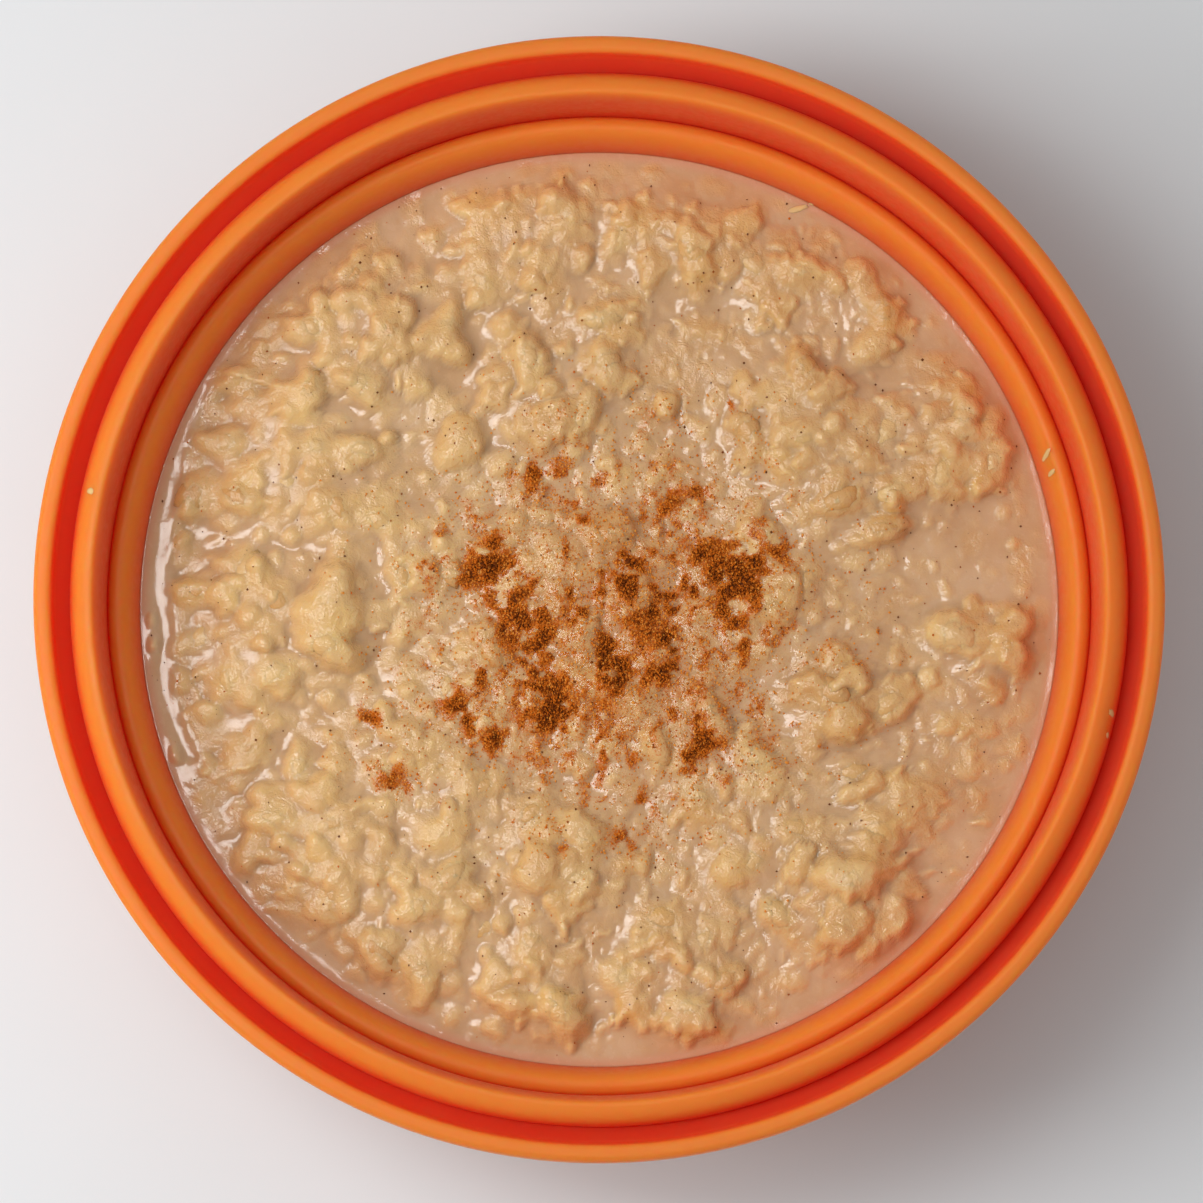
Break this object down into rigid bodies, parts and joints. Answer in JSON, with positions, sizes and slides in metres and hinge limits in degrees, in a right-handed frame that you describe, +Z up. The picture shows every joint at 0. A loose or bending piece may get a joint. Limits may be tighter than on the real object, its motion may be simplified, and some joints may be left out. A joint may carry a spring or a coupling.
{
  "type": "bowl of rice pudding",
  "caption": "Rice pudding with ground cinnamon in a round ringed plastic bowl, its rice standing in low clumps out of thickened milk.",
  "frame": {"origin": "centre of the bowl's foot, on the surface it stands on", "axes": "+Z up out of the bowl, +X to the right and +Y away from the viewer in the picture"},
  "size_m": [0.165, 0.165, 0.056],
  "materials": {
    "orange_plastic": "satin, moulded, bright orange that deepens to red in the grooves",
    "rice_pudding": "wet, creamy beige with tan grains and brown cinnamon"
  },
  "bodies": {
    "root": {"bowl": "orange_plastic", "pudding": "rice_pudding"}
  },
  "joints": []
}
